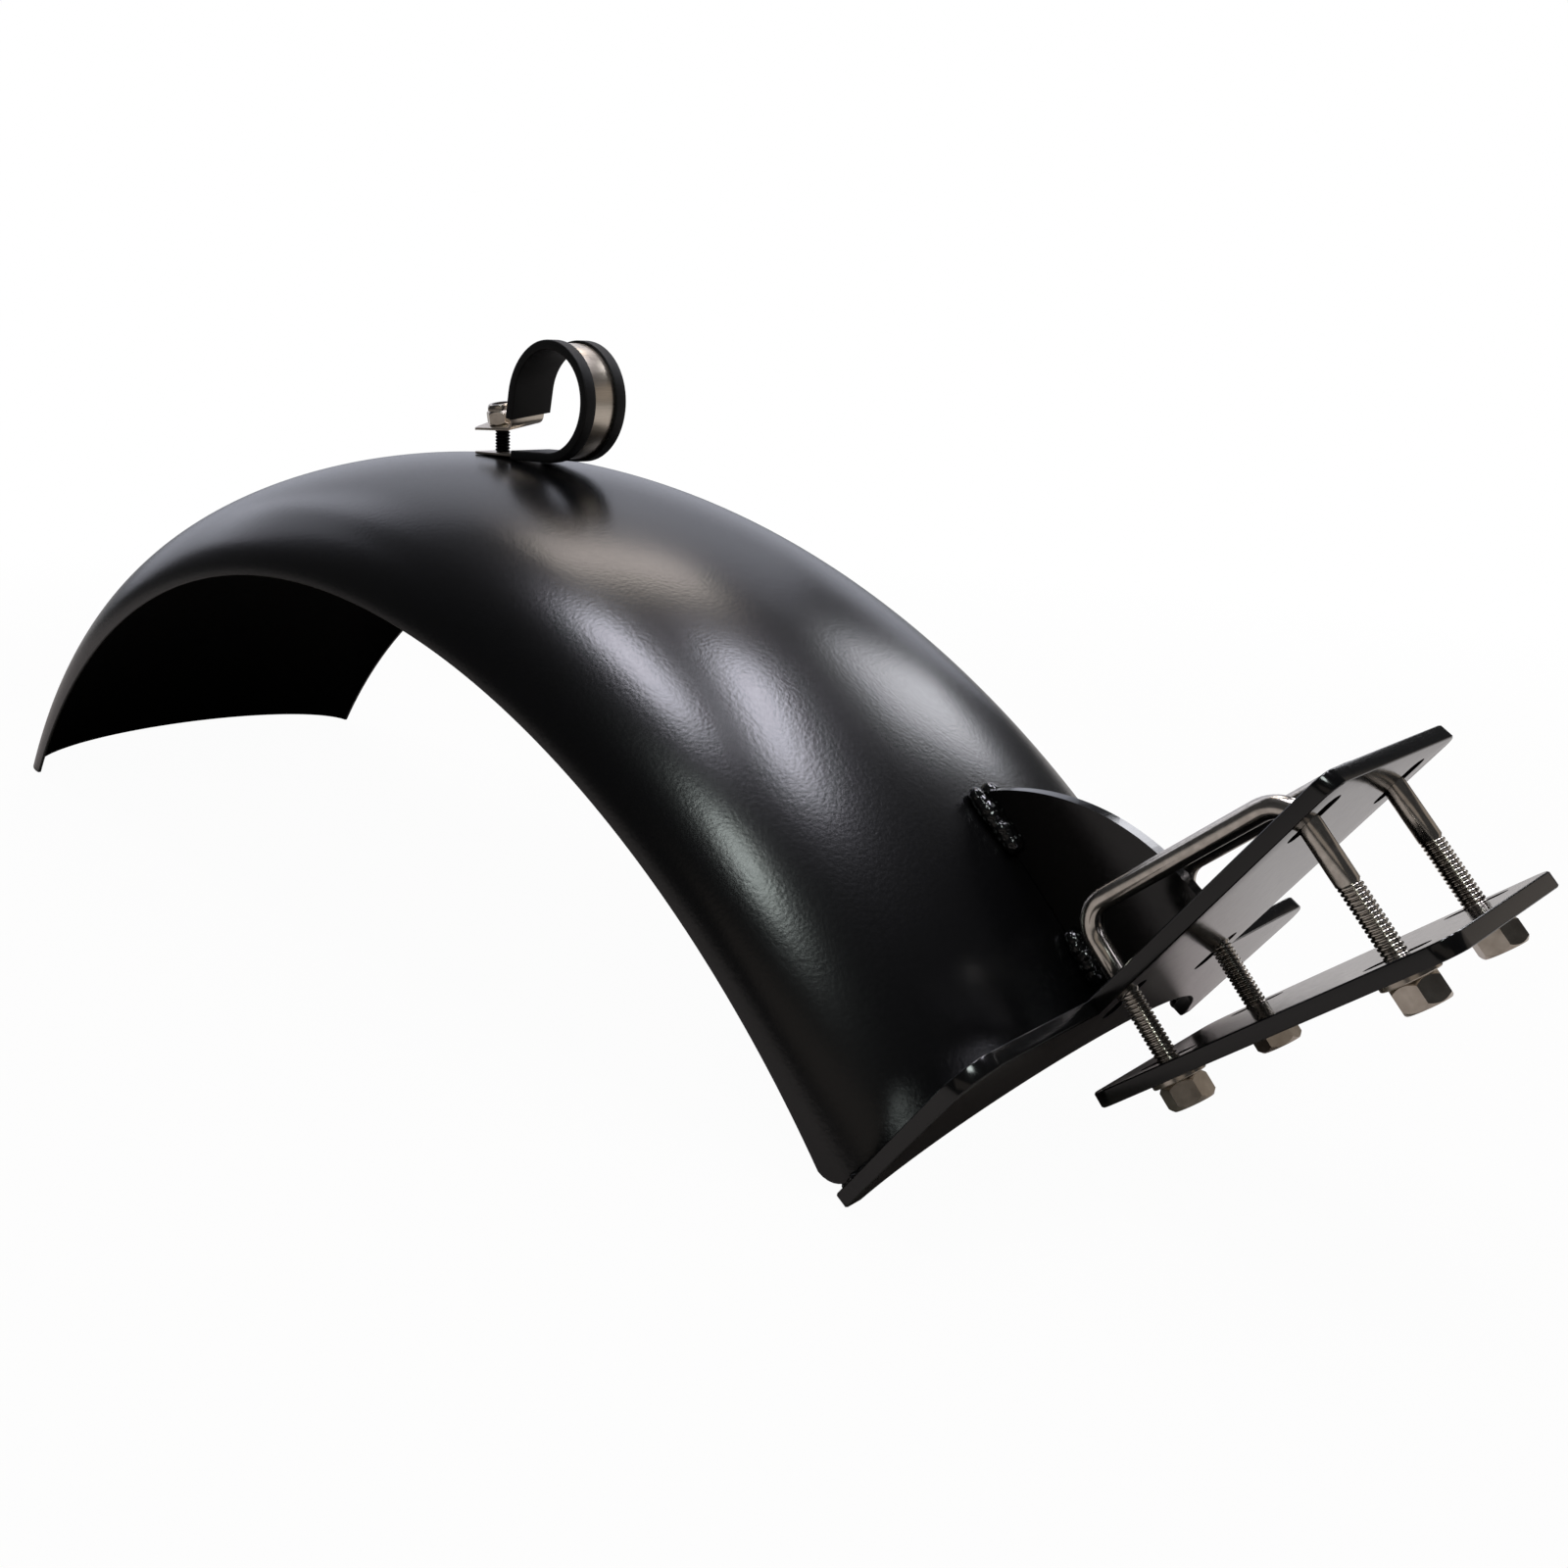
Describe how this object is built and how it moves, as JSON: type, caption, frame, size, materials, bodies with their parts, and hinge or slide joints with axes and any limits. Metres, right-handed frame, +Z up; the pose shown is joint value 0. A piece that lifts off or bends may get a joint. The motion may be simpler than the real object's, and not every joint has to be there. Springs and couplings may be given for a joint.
{
  "type": "motorcycle rear fender",
  "caption": "Arched sheet-steel rear fender with a rounded crown, a welded slotted bracket that clamps to a tube by U-bolts, and a rubber-lined pipe clip on the crown.",
  "frame": {"origin": "on the floor under the middle of the part's length and width", "axes": "+X forward to the clamp bracket, +Y to the left side, +Z up, with the fender standing on its level tail edge and the plate's tips"},
  "size_m": [0.6904, 0.194, 0.2218],
  "materials": {
    "satin_black_coat": "satin black powder coat on sheet steel",
    "gloss_black_coat": "gloss black powder coat on steel plate",
    "stainless_rod": "bright drawn stainless rod",
    "stainless_hardware": "plain stainless fasteners",
    "clip_stainless": "brushed stainless strip",
    "clip_rubber": "smooth black rubber"
  },
  "bodies": {
    "root": {"fender_shell": "satin_black_coat", "mounting_plate": "gloss_black_coat", "gusset_plate": "gloss_black_coat", "weld_gusset_upper_right": "gloss_black_coat", "weld_gusset_upper_left": "gloss_black_coat", "weld_gusset_lower_right": "gloss_black_coat", "weld_gusset_lower_left": "gloss_black_coat", "weld_plate_right": "gloss_black_coat", "weld_plate_left": "gloss_black_coat", "clamp_plate": "gloss_black_coat", "u_bolt_right": "stainless_rod", "u_bolt_left": "stainless_rod", "clamp_washer_rear_right": "stainless_hardware", "clamp_washer_rear_left": "stainless_hardware", "clamp_washer_front_right": "stainless_hardware", "clamp_washer_front_left": "stainless_hardware", "clamp_nut_rear_right": "stainless_hardware", "clamp_nut_rear_left": "stainless_hardware", "clamp_nut_front_right": "stainless_hardware", "clamp_nut_front_left": "stainless_hardware", "clip_band": "clip_stainless", "clip_rubber": "clip_rubber", "clip_bolt": "stainless_hardware", "clip_washer": "stainless_hardware", "clip_nut": "stainless_hardware"}
  },
  "joints": []
}
